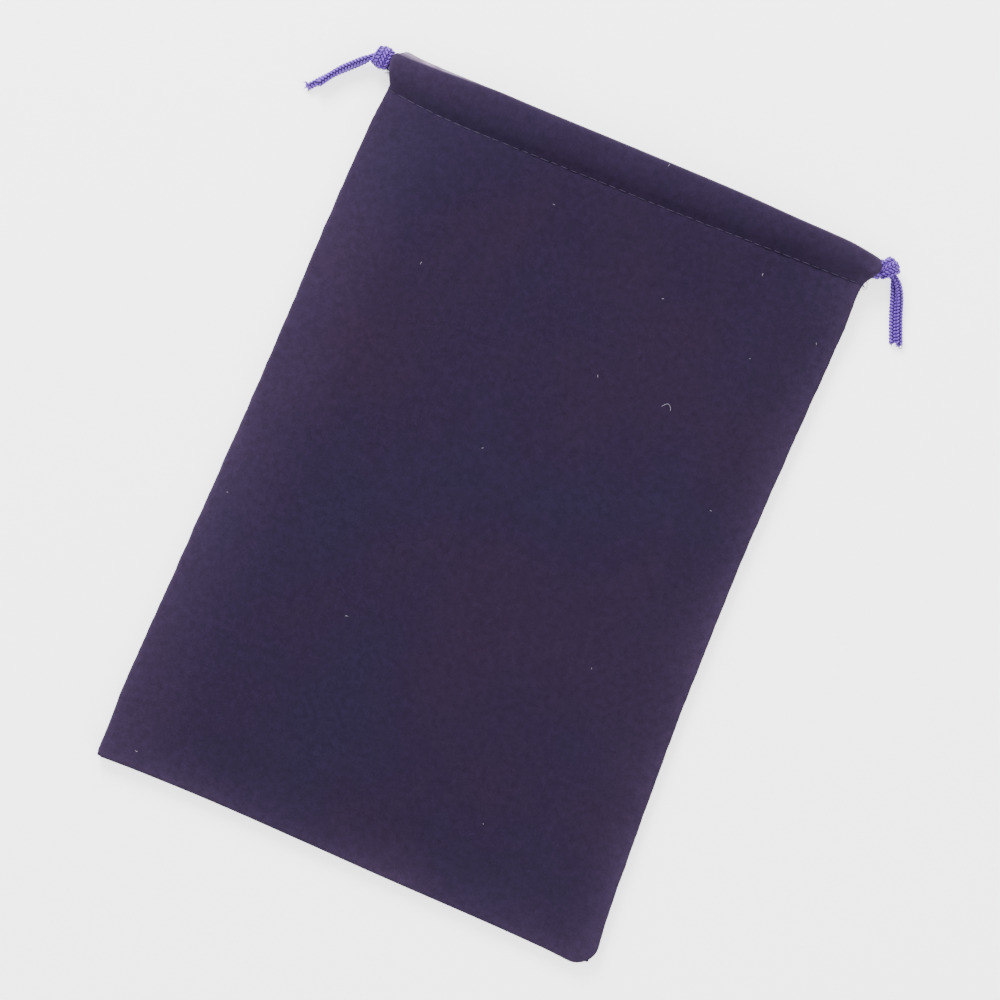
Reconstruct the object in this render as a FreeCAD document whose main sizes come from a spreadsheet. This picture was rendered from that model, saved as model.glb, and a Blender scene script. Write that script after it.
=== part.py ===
import FreeCAD, Part
import math
import os
import re
import Sketcher

# A flat drawstring pouch of velour, lying on its back with its mouth towards +Y. X runs across the
# pouch, Z is up, and the origin is on the surface it lies on, under the middle of its outline.
# Two panels are seamed at both sides and along the bottom, with the seam allowances inside. The top
# of each panel is turned in and stitched down as a channel. Two drawcords run through both channels
# from opposite sides, and each has its two ends tied together in an overhand knot.

doc = FreeCAD.newDocument("DrawstringPouch")

# ---------------------------------------------------------------- driving dimensions, millimetres
sizes = [
    ("cloth", 0.7, "thickness of the velour"),
    ("mouthLine", 95.25, "fold of the hems, from the middle of the pouch"),
    ("bottomLine", 95.25, "bottom seam, from the middle of the pouch"),
    ("hemDepth", 11, "fold of a hem to its row of stitches"),
    ("hemEnd", 63.5, "open ends of the channels, each side of the middle"),
    ("hemRise", 3.6, "thickness of one hem over its cords"),
    ("hemRamp", 4, "length over which a hem thins to its stitches"),
    ("leftTop", 65.2, "left edge at the mouth and the neck"),
    ("leftMiddle", 66, "left edge at the flare line"),
    ("leftFoot", 66.7, "left edge at the foot line"),
    ("leftBottom", 66.3, "left edge at the bottom seam"),
    ("rightTop", 62.3, "right edge at the mouth and the neck"),
    ("rightMiddle", 62.9, "right edge at the flare line"),
    ("rightFoot", 65.4, "right edge at the foot line"),
    ("rightBottom", 66.4, "right edge at the bottom seam"),
    ("allowance", 5, "width of the seam allowances inside"),
    ("mouthGap", 4.3, "air between the hems in the middle of the mouth"),
    ("mouthHalf", 36, "half of the width over which the mouth gapes"),
    ("neckLine", 66, "where the edges have come down to the seam"),
    ("neckHalf", 45, "half width of the raised middle at the neck"),
    ("neckTop", 8.3, "top of the front panel at the neck"),
    ("flareLine", 30, "where the right edge starts to flare, below the middle"),
    ("flareTop", 6.6, "top of the front panel there"),
    ("footLine", 75, "lower end of the raised middle, below the middle"),
    ("bodyHalf", 48, "half width of the raised middle of the body"),
    ("footTop", 5.8, "top of the front panel at that lower end"),
    ("cordSize", 1.9, "width of the braided cord"),
    ("leftCordLine", 90.4, "line of the left drawcord in both channels"),
    ("rightCordLine", 93, "line of the right drawcord in both channels"),
    ("cordTurn", 1.7, "radius of a drawcord where it turns round the side seam"),
    ("cordBend", 30, "radius of a drawcord where the channel bends"),
    ("cordEntry", 10, "radius of a drawcord where it enters the front channel"),
    ("knotReach", 1, "length of a drawcord inside its knot, from the knot's middle towards the hem"),
    ("turnReach", 66.2, "outermost point of a drawcord's turn"),
    ("knotPlace", 69.35, "middle of each knot, from the middle of the pouch"),
    ("knotLift", 3.3, "middle of each knot above the surface"),
    ("knotAcross", 2.8, "half size of a knot along X"),
    ("knotAlong", 3, "half size of a knot along Y"),
    ("knotUp", 3.25, "half size of a knot along Z"),
    ("leftKnotLine", 90.9, "left knot along the pouch"),
    ("rightKnotLine", 92.6, "right knot along the pouch"),
    ("stitchLength", 2.2, "visible length of one stitch"),
    ("stitchPitch", 2.9, "stitch to stitch"),
    ("threadSize", 0.35, "thickness of the sewing thread"),
    ("stitchProud", 0.5, "depth of a hem's stitches beyond two layers of cloth"),
    ("seamInset", 0.9, "row of seam stitches in from the folded edge"),
    ("sideRowEnd", 2, "ends of the side rows short of the hems and of the bottom seam"),
    ("bottomRowEnd", 3, "ends of the bottom row short of the corners"),
    ("channelFoot", 0.6, "room left in a channel beside its stitches"),
    ("tackInset", 0.1, "slit tacks in from the hems' ends"),
    ("tackDrop", 0.2, "slit tacks below the row of stitches"),
    ("tackLift", 0.3, "underside of the slit tacks"),
]

sheet = doc.addObject("Spreadsheet::Sheet", "Dims")
for row, (alias, number, note) in enumerate(sizes, start=1):
    sheet.set(f"A{row}", note)
    sheet.set(f"B{row}", str(number))
    sheet.setAlias(f"B{row}", alias)
doc.recompute()


def size(text):
    """The value of a sum of sheet aliases and plain numbers, such as "cloth + cloth - 0.3"."""
    total = 0.0
    for sign, term in re.findall(r"([+-]?)\s*([A-Za-z]\w*|[\d.]+)", text):
        number = float(sheet.get(term)) if term[0].isalpha() else float(term)
        total += -number if sign == "-" else number
    return total


def bound(text):
    """The same sum as an expression that a property can be bound to."""
    return re.sub(r"([A-Za-z]\w*)", r"Dims.\1", text)


def outline(body, name, plane, height, corners):
    """A closed sketch of straight lines, each corner bound to the sheet along both sketch axes."""
    sketch = body.newObject("Sketcher::SketchObject", name)
    originPlane = [item for item in body.Origin.OriginFeatures if item.Role == plane][0]
    sketch.AttachmentSupport = (originPlane, [""])
    sketch.MapMode = "FlatFace"
    sketch.AttachmentOffset = FreeCAD.Placement(
        FreeCAD.Vector(0, 0, size(height)), FreeCAD.Rotation()
    )
    sketch.setExpression("AttachmentOffset.Base.z", bound(height))
    points = [FreeCAD.Vector(size(across), size(up), 0) for across, up in corners]
    count = len(points)
    for index in range(count):
        edge = Part.LineSegment(points[index], points[(index + 1) % count])
        sketch.addGeometry(edge, False)
    for index in range(count):
        joined = Sketcher.Constraint("Coincident", index, 2, (index + 1) % count, 1)
        sketch.addConstraint(joined)
    for index, (across, up) in enumerate(corners):
        for kind, text in (("DistanceX", across), ("DistanceY", up)):
            held = Sketcher.Constraint(kind, -1, 1, index, 1, size(text))
            number = sketch.addConstraint(held)
            sketch.setExpression(f"Constraints[{number}]", bound(text))
    return sketch


def loft(body, name, kind, sketches):
    feature = body.newObject(kind, name)
    feature.Profile = sketches[0]
    feature.Sections = sketches[1:]
    feature.Ruled = True
    return feature


def pad(body, name, sketch, length):
    feature = body.newObject("PartDesign::Pad", name)
    feature.Profile = sketch
    feature.setExpression("Length", bound(length))
    return feature


# ---------------------------------------------------------------- panels with their hems
stitchLine = "mouthLine - hemDepth"

# the outline of the pouch below its stitches: place along Y, left edge, right edge
edgeStations = [
    (stitchLine, "leftTop", "rightTop"),
    ("neckLine", "leftTop", "rightTop"),
    ("-flareLine", "leftMiddle", "rightMiddle"),
    ("-footLine", "leftFoot", "rightFoot"),
    ("-bottomLine", "leftBottom", "rightBottom"),
]


def hemSection(body, name, place, base):
    """Outside of a hem across its length: flat below, thinning to two layers at its stitches."""
    corners = [
        (stitchLine, base),
        ("mouthLine", base),
        ("mouthLine", f"{base} + hemRise"),
        (f"{stitchLine} + hemRamp", f"{base} + hemRise"),
        (stitchLine, f"{base} + cloth + cloth"),
    ]
    return outline(body, name, "YZ_Plane", place, corners)


def channelSection(body, name, place, base):
    """Inside of a hem, one cloth in from its outside."""
    corners = [
        (f"{stitchLine} + cloth + cloth", f"{base} + cloth"),
        ("mouthLine - cloth", f"{base} + cloth"),
        ("mouthLine - cloth", f"{base} + hemRise - cloth"),
        (f"{stitchLine} + hemRamp", f"{base} + hemRise - cloth"),
        (f"{stitchLine} + cloth + cloth", f"{base} + cloth + channelFoot"),
    ]
    return outline(body, name, "YZ_Plane", place, corners)


def allowanceStrip(body, name, base):
    """The seam allowance of one panel, turned in along both sides and the bottom."""
    outside = [(f"-{left}", along) for along, left, right in edgeStations]
    outside += [(right, along) for along, left, right in reversed(edgeStations)]
    inside = [(f"{right} - allowance", along) for along, left, right in edgeStations[:-1]]
    inside.append(("rightBottom - allowance", "-bottomLine + allowance"))
    inside.append(("-leftBottom + allowance", "-bottomLine + allowance"))
    inside += [(f"-{left} + allowance", along) for along, left, right in reversed(edgeStations[:-1])]
    sketch = outline(body, f"{name}_outline", "XY_Plane", base, outside + inside)
    return pad(body, name, sketch, "cloth")


backPanel = doc.addObject("PartDesign::Body", "back_panel")
backEdge = [(f"-{left}", along) for along, left, right in edgeStations]
backEdge += [(right, along) for along, left, right in reversed(edgeStations)]
backOutline = outline(backPanel, "back_outline", "XY_Plane", "0", backEdge)
pad(backPanel, "back_sheet", backOutline, "cloth")
allowanceStrip(backPanel, "back_allowance", "cloth")
backHem = [
    hemSection(backPanel, "back_hem_left", "-hemEnd", "0"),
    hemSection(backPanel, "back_hem_right", "hemEnd", "0"),
]
loft(backPanel, "back_hem", "PartDesign::AdditiveLoft", backHem)
backChannel = [
    channelSection(backPanel, "back_channel_left", "-hemEnd", "0"),
    channelSection(backPanel, "back_channel_right", "hemEnd", "0"),
]
loft(backPanel, "back_channel", "PartDesign::SubtractiveLoft", backChannel)

# The front panel's cloth, seen along the pouch: a flat rim over the seam on both sides, a slope up
# from each rim, and a raised middle.
frontPanel = doc.addObject("PartDesign::Body", "front_panel")
seamTop = "cloth + cloth + cloth + cloth"
hemTop = "hemRise + cloth + cloth"
# half width of the raised middle, top of the rim, top of the middle, at each edge station
frontLevels = [
    ("mouthHalf", hemTop, f"{hemTop} + mouthGap"),
    ("neckHalf", seamTop, "neckTop"),
    ("bodyHalf", seamTop, "flareTop"),
    ("bodyHalf", seamTop, "footTop"),
    ("bodyHalf", seamTop, seamTop),
]


def frontSection(number, edges, levels):
    along, left, right = edges
    half, rim, top = levels
    upper = [
        (f"-{left}", rim),
        (f"-{left} + allowance", rim),
        (f"-{half}", top),
        (half, top),
        (f"{right} - allowance", rim),
        (right, rim),
    ]
    lower = [(across, f"{up} - cloth") for across, up in reversed(upper)]
    # the XZ plane faces -Y, so a place along +Y is a negative height over it
    place = "-" + along if along[0] != "-" else along[1:]
    place = place.replace("- hemDepth", "+ hemDepth")
    return outline(frontPanel, f"front_section_{number}", "XZ_Plane", place, upper + lower)


frontSketches = [
    frontSection(number, edges, levels)
    for number, (edges, levels) in enumerate(zip(edgeStations, frontLevels), start=1)
]
loft(frontPanel, "front_sheet", "PartDesign::AdditiveLoft", frontSketches)
allowanceStrip(frontPanel, "front_allowance", "cloth + cloth")
hemLevels = [
    ("-hemEnd", "hemRise"),
    ("-mouthHalf", "hemRise + mouthGap"),
    ("mouthHalf", "hemRise + mouthGap"),
    ("hemEnd", "hemRise"),
]
frontHem = [
    hemSection(frontPanel, f"front_hem_{n}", place, base)
    for n, (place, base) in enumerate(hemLevels, start=1)
]
loft(frontPanel, "front_hem", "PartDesign::AdditiveLoft", frontHem)
frontChannel = [
    channelSection(frontPanel, f"front_channel_{n}", place, base)
    for n, (place, base) in enumerate(hemLevels, start=1)
]
loft(frontPanel, "front_channel", "PartDesign::SubtractiveLoft", frontChannel)

# ---------------------------------------------------------------- sewing threads
# Rows of separate stitches along bent and slanting lines, which no pattern feature follows.


def stitchRow(name, corners, length, pitch, height):
    """Stitches in a row along straight runs, each a short bar that passes down through the cloth."""
    thread = size("threadSize")
    bars = []
    for start, end in zip(corners, corners[1:]):
        run = end - start
        count = max(1, int(run.Length // pitch))
        turn = FreeCAD.Rotation(FreeCAD.Vector(1, 0, 0), run)
        for number in range(count):
            middle = start + run * ((number + 0.5) / count)
            bar = Part.makeBox(length, thread, height, FreeCAD.Vector(-length / 2, -thread / 2, -height / 2))
            bar.Placement = FreeCAD.Placement(middle, turn)
            bars.append(bar)
    row = doc.addObject("Part::Feature", name)
    row.Shape = Part.makeCompound(bars)
    return row


def point(across, along, up):
    return FreeCAD.Vector(size(across), size(along), size(up))


stitchLength = size("stitchLength")
stitchPitch = size("stitchPitch")
throughSeam = size("cloth + cloth")
rowLine = f"{stitchLine} + cloth"
throughHem = size("cloth + cloth + stitchProud")

backRow = [
    point("-hemEnd + seamInset", rowLine, "cloth") + FreeCAD.Vector(0, 0, size("stitchProud") / 2),
    point("hemEnd - seamInset", rowLine, "cloth") + FreeCAD.Vector(0, 0, size("stitchProud") / 2),
]
backThread = stitchRow("back_channel_thread", backRow, stitchLength, stitchPitch, throughHem)

frontRow = [point(place, rowLine, f"{base} + cloth + cloth - stitchProud") for place, base in hemLevels]
frontRow[0] += (frontRow[1] - frontRow[0]).normalize() * size("seamInset")
frontRow[-1] += (frontRow[-2] - frontRow[-1]).normalize() * size("seamInset")
frontThread = stitchRow("front_channel_thread", frontRow, stitchLength, stitchPitch, throughHem)

seamLevel = "cloth + cloth"
leftRow = [
    point("-leftTop + seamInset", f"{stitchLine} - sideRowEnd", seamLevel),
    point("-leftBottom + seamInset", "-bottomLine + sideRowEnd", seamLevel),
]
leftSeamThread = stitchRow("left_seam_thread", leftRow, stitchLength, stitchPitch, throughSeam)
rightRow = [
    point("rightTop - seamInset", f"{stitchLine} - sideRowEnd", seamLevel),
    point("rightMiddle - seamInset", "-flareLine", seamLevel),
    point("rightBottom - seamInset", "-bottomLine + sideRowEnd", seamLevel),
]
rightSeamThread = stitchRow("right_seam_thread", rightRow, stitchLength, stitchPitch, throughSeam)
bottomRow = [
    point("-leftBottom + bottomRowEnd", "-bottomLine + seamInset", seamLevel),
    point("rightBottom - bottomRowEnd", "-bottomLine + seamInset", seamLevel),
]
bottomSeamThread = stitchRow("bottom_seam_thread", bottomRow, stitchLength, stitchPitch, throughSeam)


def slitTack(name, place):
    """Locked thread ends at the foot of a channel's open end, through the ends of both hems."""
    tack = doc.addObject("Part::Box", name)
    tack.setExpression("Length", bound("cloth"))
    tack.setExpression("Width", bound("cloth + cloth"))
    tack.setExpression("Height", bound("hemRise + cloth"))
    tack.setExpression("Placement.Base.x", bound(place))
    tack.setExpression("Placement.Base.y", bound(f"{stitchLine} - tackDrop"))
    tack.setExpression("Placement.Base.z", bound("tackLift"))
    return tack


leftTack = slitTack("left_slit_tack", "-hemEnd + tackInset")
rightTack = slitTack("right_slit_tack", "hemEnd - cloth - tackInset")

# ---------------------------------------------------------------- drawcords
cordSize = size("cordSize")


def smoothPath(corners, radii):
    """Straight runs joined by tangent arcs, one radius for each corner between the ends."""
    edges = []
    here = corners[0]
    for corner, after, radius in zip(corners[1:-1], corners[2:], radii):
        before = (here - corner).normalize()
        beyond = (after - corner).normalize()
        turn = math.pi - before.getAngle(beyond)
        setback = radius * math.tan(turn / 2)
        start = corner + before * setback
        end = corner + beyond * setback
        inward = (before + beyond).normalize()
        middle = corner + inward * (radius / math.cos(turn / 2) - radius)
        edges.append(Part.LineSegment(here, start).toShape())
        edges.append(Part.Arc(start, middle, end).toShape())
        here = end
    edges.append(Part.LineSegment(here, corners[-1]).toShape())
    return Part.Wire(edges)


def widestRadii(corners):
    """The largest arc that each corner's two runs allow."""
    radii = []
    for before, corner, after in zip(corners, corners[1:], corners[2:]):
        turn = math.pi - (before - corner).getAngle(after - corner)
        run = min((before - corner).Length, (after - corner).Length)
        radii.append(0.45 * run / math.tan(turn / 2))
    return radii


def cord(name, corners, radii):
    """A plain round tube along the route."""
    path = smoothPath(corners, radii)
    start = corners[0]
    ring = Part.makeCircle(cordSize / 2, start, corners[1] - start)
    tube = path.makePipeShell([Part.Wire([ring])], True, True)
    expected = math.pi * cordSize**2 / 4 * path.Length
    print(
        f"{name}: {path.Length:.1f} mm long, radii",
        [round(radius, 1) for radius in radii],
        f"volume {tube.Volume / expected:.4f} of section times length",
    )
    node = doc.addObject("Part::Feature", name)
    node.Shape = tube
    return node


def cordLoop(name, side, line):
    """From the knot through the front channel, round the far side seam and back to the knot."""
    knot = -side * size("knotPlace - knotReach")
    near = -side * size("hemEnd")
    bend = side * size("mouthHalf")
    far = side * (size("turnReach") - cordSize / 2)
    frontEnd = size("hemRise + hemRise") - size("hemRise") / 2
    frontMiddle = frontEnd + size("mouthGap")
    fall = size("mouthGap") / size("hemEnd - mouthHalf")
    turnTop = frontEnd - fall * (abs(far) - size("hemEnd"))
    back = size("hemRise") / 2
    along = size(line)
    route = [
        FreeCAD.Vector(knot, along, frontEnd),
        FreeCAD.Vector(near, along, frontEnd),
        FreeCAD.Vector(-bend, along, frontMiddle),
        FreeCAD.Vector(bend, along, frontMiddle),
        FreeCAD.Vector(far, along, turnTop),
        FreeCAD.Vector(far, along, back),
        FreeCAD.Vector(knot, along, back),
    ]
    bends = size("cordBend")
    turn = size("cordTurn")
    return cord(name, route, [size("cordEntry"), bends, bends, turn, turn])


def knot(name, place, line):
    """The tied lump as one closed solid."""
    lump = doc.addObject("Part::Ellipsoid", name)
    lump.setExpression("Radius1", bound("knotUp"))
    lump.setExpression("Radius2", bound("knotAcross"))
    lump.setExpression("Radius3", bound("knotAlong"))
    lump.Angle1 = -90
    lump.Angle2 = 90
    lump.setExpression("Placement.Base.x", bound(place))
    lump.setExpression("Placement.Base.y", bound(line))
    lump.setExpression("Placement.Base.z", bound("knotLift"))
    return lump


def tail(name, corners):
    return cord(name, corners, widestRadii(corners))


leftLoop = cordLoop("left_cord_loop", 1, "leftCordLine")
rightLoop = cordLoop("right_cord_loop", -1, "rightCordLine")
leftKnot = knot("left_knot", "-knotPlace", "leftKnotLine")
rightKnot = knot("right_knot", "knotPlace", "rightKnotLine")

# The two ends of each drawcord beyond its knot. The left pair lie one on the other, the right pair
# side by side.
leftTailUpper = tail(
    "left_tail_upper",
    [
        FreeCAD.Vector(-70.9, 90.3, 4.1),
        FreeCAD.Vector(-74.9, 87.6, 3.5),
        FreeCAD.Vector(-78.5, 83.9, 3.0),
        FreeCAD.Vector(-81.3, 79.2, 2.95),
    ],
)
leftTailLower = tail(
    "left_tail_lower",
    [
        FreeCAD.Vector(-71.0, 90.1, 1.7),
        FreeCAD.Vector(-75.2, 87.1, 1.05),
        FreeCAD.Vector(-79.4, 82.9, 1.05),
        FreeCAD.Vector(-83.4, 77.8, 1.05),
    ],
)
rightTailInner = tail(
    "right_tail_inner",
    [
        FreeCAD.Vector(68.5, 91.2, 2.2),
        FreeCAD.Vector(70.2, 87.0, 1.3),
        FreeCAD.Vector(71.9, 82.0, 1.05),
        FreeCAD.Vector(74.6, 76.0, 1.05),
    ],
)
rightTailOuter = tail(
    "right_tail_outer",
    [
        FreeCAD.Vector(70.2, 91.9, 3.6),
        FreeCAD.Vector(72.6, 87.9, 2.0),
        FreeCAD.Vector(74.5, 82.6, 1.05),
        FreeCAD.Vector(77.2, 76.6, 1.05),
    ],
)

# ---------------------------------------------------------------- check and write
pieces = [
    backPanel,
    frontPanel,
    backThread,
    frontThread,
    leftSeamThread,
    rightSeamThread,
    bottomSeamThread,
    leftTack,
    rightTack,
    leftLoop,
    rightLoop,
    leftKnot,
    rightKnot,
    leftTailUpper,
    leftTailLower,
    rightTailInner,
    rightTailOuter,
]
for piece in pieces:
    piece.Label = piece.Name

doc.recompute()
for item in doc.Objects:
    if "Invalid" in item.State or "Error" in item.State:
        raise RuntimeError(f"{item.Name} did not rebuild: {item.State}")
for piece in pieces:
    if piece.Shape.isNull() or not piece.Shape.isValid():
        raise RuntimeError(f"{piece.Label} has no valid shape")

os.makedirs("parts", exist_ok=True)
for piece in pieces:
    piece.Shape.exportStep(os.path.join("parts", piece.Label + ".step"))
    box = piece.Shape.BoundBox
    solids = len(piece.Shape.Solids)
    volume = piece.Shape.Volume
    print(f"{piece.Label}: {solids} solids, {volume:.1f} mm3, z {box.ZMin:.2f} to {box.ZMax:.2f}")
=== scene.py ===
import bmesh
import bpy
import math
import random
from mathutils import Matrix, Vector, noise


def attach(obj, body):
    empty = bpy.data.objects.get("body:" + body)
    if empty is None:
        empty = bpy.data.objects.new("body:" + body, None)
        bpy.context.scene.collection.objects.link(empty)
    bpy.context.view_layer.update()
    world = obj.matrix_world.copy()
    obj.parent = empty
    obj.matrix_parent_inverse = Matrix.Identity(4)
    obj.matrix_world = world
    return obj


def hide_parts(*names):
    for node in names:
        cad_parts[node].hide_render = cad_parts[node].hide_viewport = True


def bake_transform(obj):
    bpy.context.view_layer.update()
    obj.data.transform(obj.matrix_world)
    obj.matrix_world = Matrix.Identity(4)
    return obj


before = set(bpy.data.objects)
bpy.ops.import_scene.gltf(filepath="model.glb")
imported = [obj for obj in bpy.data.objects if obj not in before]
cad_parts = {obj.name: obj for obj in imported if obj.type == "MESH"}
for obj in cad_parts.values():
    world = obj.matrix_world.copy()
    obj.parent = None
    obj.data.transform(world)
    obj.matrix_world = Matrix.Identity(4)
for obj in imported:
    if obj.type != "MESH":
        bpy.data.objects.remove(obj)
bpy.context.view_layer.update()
mm = 0.001


# small helpers

def ease(t):
    # from 0 to 1, slow at both ends
    t = min(max(t, 0.0), 1.0)
    return t * t * (3 - 2 * t)


def mix(a, b, t):
    return a + (b - a) * t


def through(keys, at):
    # smooth line through (place, value) pairs, held at both ends
    if at <= keys[0][0]:
        return keys[0][1]
    for i in range(len(keys) - 1):
        (x1, y1), (x2, y2) = keys[i], keys[i + 1]
        if at <= x2:
            x0, y0 = keys[max(i - 1, 0)]
            x3, y3 = keys[min(i + 2, len(keys) - 1)]
            slopeA = (y2 - y0) / (x2 - x0)
            slopeB = (y3 - y1) / (x3 - x1)
            run = x2 - x1
            t = (at - x1) / run
            curve = y1 * (1 + 2 * t) * (1 - t) ** 2 + y2 * (3 - 2 * t) * t * t
            return curve + run * (slopeA * t * (1 - t) ** 2 + slopeB * t * t * (t - 1))
    return keys[-1][1]


def wave(x, y, size, seed):
    # a gentle unevenness, of about the given size
    return noise.noise(Vector((x / size, y / size, seed)))


def place(name, bm, materials):
    # turns a finished bmesh into a smooth piece of the scene
    mesh = bpy.data.meshes.new(name)
    for face in bm.faces:
        face.smooth = True
    bm.to_mesh(mesh)
    bm.free()
    for material in materials:
        mesh.materials.append(material)
    piece = bpy.data.objects.new(name, mesh)
    bpy.context.scene.collection.objects.link(piece)
    return piece


def meshOf(piece):
    # the mesh of a piece once its modifiers have worked
    return bpy.data.meshes.new_from_object(piece.evaluated_get(bpy.context.evaluated_depsgraph_get()))


def curveMesh(points, resolution, thick=0.0):
    # a smooth curve that starts and ends at its first and last point, as a line or, with a thickness, a tube
    curve = bpy.data.curves.new("route", "CURVE")
    curve.dimensions = "3D"
    curve.bevel_depth = thick
    curve.bevel_resolution = 1
    curve.use_fill_caps = True
    spline = curve.splines.new("NURBS")
    spline.points.add(len(points) - 1)
    for control, spot in zip(spline.points, points):
        control.co = (*spot, 1)
    spline.order_u = 3
    spline.use_endpoint_u = True
    spline.resolution_u = resolution
    holder = bpy.data.objects.new("route", curve)
    mesh = bpy.data.meshes.new_from_object(holder)
    bpy.data.objects.remove(holder)
    bpy.data.curves.remove(curve)
    return mesh


# camera, straight down, with the pouch's mouth turned to the upper right
view = {
    "lens": 120,
    "across": 248 * mm,      # width of the view
    "turn": 23.2,            # degrees
    "middle": (1.0 * mm, 1.9 * mm),
    "level": 5 * mm,         # height at which the width is right
}
cameraData = bpy.data.cameras.new("camera")
cameraData.lens = view["lens"]
cameraData.clip_start = 0.01
camera = bpy.data.objects.new("camera", cameraData)
distance = view["across"] * view["lens"] / cameraData.sensor_width
camera.location = (*view["middle"], view["level"] + distance)
camera.rotation_euler = (0, 0, math.radians(view["turn"]))
bpy.context.scene.collection.objects.link(camera)
bpy.context.scene.camera = camera
print("camera placed")


# materials

def newMaterial(name):
    material = bpy.data.materials.new(name)
    material.use_nodes = True
    nodes = material.node_tree.nodes
    return material, nodes, material.node_tree.links, nodes["Principled BSDF"]


def addNode(nodes, kind, **values):
    node = nodes.new(kind)
    for key, value in values.items():
        if key in node.inputs:
            node.inputs[key].default_value = value
        else:
            setattr(node, key, value)
    return node


def ramp(nodes, stops):
    node = nodes.new("ShaderNodeValToRGB")
    elements = node.color_ramp.elements
    while len(elements) < len(stops):
        elements.new(0.5)
    for element, (position, colour) in zip(elements, stops):
        element.position = position
        element.color = (*colour, 1)
    return node


velour = {
    "deep": (0.0118, 0.0065, 0.0208),
    "plum": (0.0135, 0.0068, 0.0202),
    "blue": (0.0106, 0.0069, 0.0213),
    "sheenColour": (0.0290, 0.0180, 0.0430),      # painted sheen: a lighter tone laid along the edges
    "bare": (0.2600, 0.2000, 0.3000),      # pale ground of the cloth, where a fold opens the pile
    "patch": 20,       # drifts of colour per metre
    "pile": 3200,      # tufts per metre
    "grain": 640,      # clumps of tufts per metre
    "sheen": 0.12,
    "sheenTint": (0.66, 0.46, 0.86),
}


def makeVelour():
    material, nodes, links, shader = newMaterial("velour")
    coords = nodes.new("ShaderNodeTexCoord")
    drift = addNode(nodes, "ShaderNodeTexNoise", Scale=velour["patch"], Detail=5.0, Roughness=0.55)
    tones = ramp(nodes, [(0.36, velour["blue"]), (0.5, velour["deep"]), (0.64, velour["plum"])])
    # painted sheen: the cloth's colour is lifted towards a lighter tone near the edges, as much as the edge
    # attribute says
    edge = addNode(nodes, "ShaderNodeAttribute", attribute_name="edge")
    edgeSheenMix = addNode(nodes, "ShaderNodeMix", data_type="RGBA")
    edgeSheenMix.inputs[7].default_value = (*velour["sheenColour"], 1)
    fold = addNode(nodes, "ShaderNodeAttribute", attribute_name="bare")
    opened = addNode(nodes, "ShaderNodeMix", data_type="RGBA")
    opened.inputs[7].default_value = (*velour["bare"], 1)
    uneven = ramp(nodes, [(0.3, (0.86, 0.86, 0.86)), (0.7, (1.15, 1.15, 1.16))])
    blotch = addNode(nodes, "ShaderNodeMix", data_type="RGBA", blend_type="MULTIPLY")
    blotch.inputs[0].default_value = 1.0
    tufts = addNode(nodes, "ShaderNodeTexNoise", Scale=velour["pile"], Detail=2.0, Roughness=0.7)
    grain = addNode(nodes, "ShaderNodeTexNoise", Scale=velour["grain"], Detail=3.0, Roughness=0.6)
    shade = ramp(nodes, [(0.3, (0.84, 0.84, 0.84)), (0.7, (1.16, 1.16, 1.16))])
    tint = addNode(nodes, "ShaderNodeMix", data_type="RGBA", blend_type="MULTIPLY")
    tint.inputs[0].default_value = 1.0
    bump = addNode(nodes, "ShaderNodeBump", Strength=0.3, Distance=0.0002)
    coarse = addNode(nodes, "ShaderNodeBump", Strength=0.2, Distance=0.0004)
    for texture in (drift, tufts, grain):
        links.new(coords.outputs["Object"], texture.inputs["Vector"])
    links.new(drift.outputs["Fac"], tones.inputs["Fac"])
    links.new(tones.outputs["Color"], edgeSheenMix.inputs[6])
    links.new(edge.outputs["Fac"], edgeSheenMix.inputs[0])
    links.new(tufts.outputs["Fac"], shade.inputs["Fac"])
    links.new(grain.outputs["Fac"], uneven.inputs["Fac"])
    links.new(edgeSheenMix.outputs[2], blotch.inputs[6])
    links.new(uneven.outputs["Color"], blotch.inputs[7])
    links.new(blotch.outputs[2], opened.inputs[6])
    links.new(fold.outputs["Fac"], opened.inputs[0])
    links.new(opened.outputs[2], tint.inputs[6])
    links.new(shade.outputs["Color"], tint.inputs[7])
    links.new(tint.outputs[2], shader.inputs["Base Color"])
    links.new(grain.outputs["Fac"], coarse.inputs["Height"])
    links.new(coarse.outputs["Normal"], bump.inputs["Normal"])
    links.new(tufts.outputs["Fac"], bump.inputs["Height"])
    links.new(bump.outputs["Normal"], shader.inputs["Normal"])
    shader.inputs["Roughness"].default_value = 0.95
    shader.inputs["Specular IOR Level"].default_value = 0.1
    shader.inputs["Sheen Weight"].default_value = velour["sheen"]
    shader.inputs["Sheen Roughness"].default_value = 0.3
    shader.inputs["Sheen Tint"].default_value = (*velour["sheenTint"], 1)
    return material


braidYarn = {
    "light": (0.195, 0.060, 0.570),
    "dark": (0.030, 0.006, 0.150),
    "filaments": 9,      # fine lines across one yarn
    "sheen": 0.08,
    "sheenTint": (0.7, 0.5, 1),
}


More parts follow.
